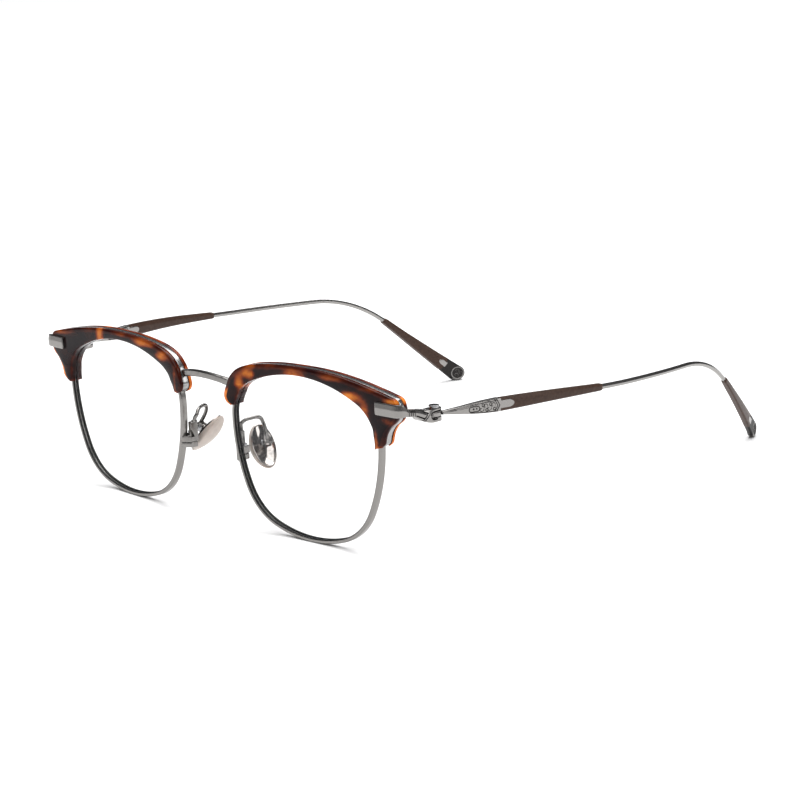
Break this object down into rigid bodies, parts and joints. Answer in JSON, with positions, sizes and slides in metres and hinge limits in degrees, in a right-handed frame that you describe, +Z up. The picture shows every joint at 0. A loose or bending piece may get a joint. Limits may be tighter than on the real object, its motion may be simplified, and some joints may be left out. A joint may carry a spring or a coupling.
{
  "type": "half rim eyeglasses",
  "caption": "Half rim eyeglasses: acetate brows over thin metal eyewires, clear lenses, rocking nose pads and slim metal temples that fold on side hinges.",
  "frame": {"origin": "on the floor under the middle of the object's box, on its plane of symmetry", "axes": "+Z up as the glasses stand open on a table, the front faces -Y, the temples run to +Y, +X is the wearer's left"},
  "size_m": [0.153, 0.1489, 0.0445],
  "materials": {
    "acetate": "polished tortoise pattern, dark brown with amber",
    "frame_metal": "satin gunmetal",
    "polished_metal": "polished",
    "relief_metal": "antique satin with a raised scroll pattern",
    "brown_enamel": "matte dark brown",
    "lens_clear": "clear, coated",
    "pad_soft": "satin",
    "screw_metal": "polished"
  },
  "bodies": {
    "front": {"bridge": "frame_metal", "brow_left": "acetate", "brow_right": "acetate", "brow_plate_left": "polished_metal", "brow_plate_right": "polished_metal", "eyewire_left": "frame_metal", "eyewire_right": "frame_metal", "lens_left": "lens_clear", "lens_right": "lens_clear", "lug_left": "frame_metal", "lug_right": "frame_metal", "lug_screws_left": "screw_metal", "lug_screws_right": "screw_metal", "lock_top_left": "frame_metal", "lock_top_right": "frame_metal", "lock_bottom_left": "frame_metal", "lock_bottom_right": "frame_metal", "lock_screw_left": "screw_metal", "lock_screw_right": "screw_metal", "pad_arm_left": "frame_metal", "pad_arm_right": "frame_metal", "pad_screw_left": "screw_metal", "pad_screw_right": "screw_metal", "hinge_screw_left": "screw_metal", "hinge_screw_right": "screw_metal", "hinge_washers_left": "screw_metal", "hinge_washers_right": "screw_metal"},
    "temple_left": {"temple_left": "relief_metal", "temple_sleeve_left": "brown_enamel", "tip_sleeve_left": "brown_enamel", "tip_cap_left": "relief_metal"},
    "temple_right": {"temple_right": "relief_metal", "temple_sleeve_right": "brown_enamel", "tip_sleeve_right": "brown_enamel", "tip_cap_right": "relief_metal"},
    "pad_left": {"nose_pad_left": "pad_soft", "pad_back_left": "polished_metal"},
    "pad_right": {"nose_pad_right": "pad_soft", "pad_back_right": "polished_metal"}
  },
  "joints": [
    {"name": "temple_fold_left", "type": "hinge", "parent": "front", "child": "temple_left", "pos_m": [0.0684, -0.05876, 0.035], "axis": [0, 0, 1], "range_deg": [0, 88]},
    {"name": "temple_fold_right", "type": "hinge", "parent": "front", "child": "temple_right", "pos_m": [-0.0684, -0.05876, 0.035], "axis": [0, 0, -1], "range_deg": [0, 83]},
    {"name": "pad_rock_left", "type": "hinge", "parent": "front", "child": "pad_left", "pos_m": [0.01263, -0.06466, 0.02049], "axis": [-0.2791, -0.9512, 0.1318], "range_deg": [-10, 10]},
    {"name": "pad_rock_right", "type": "hinge", "parent": "front", "child": "pad_right", "pos_m": [-0.01263, -0.06466, 0.02049], "axis": [0.2791, -0.9512, 0.1318], "range_deg": [-10, 10]}
  ]
}
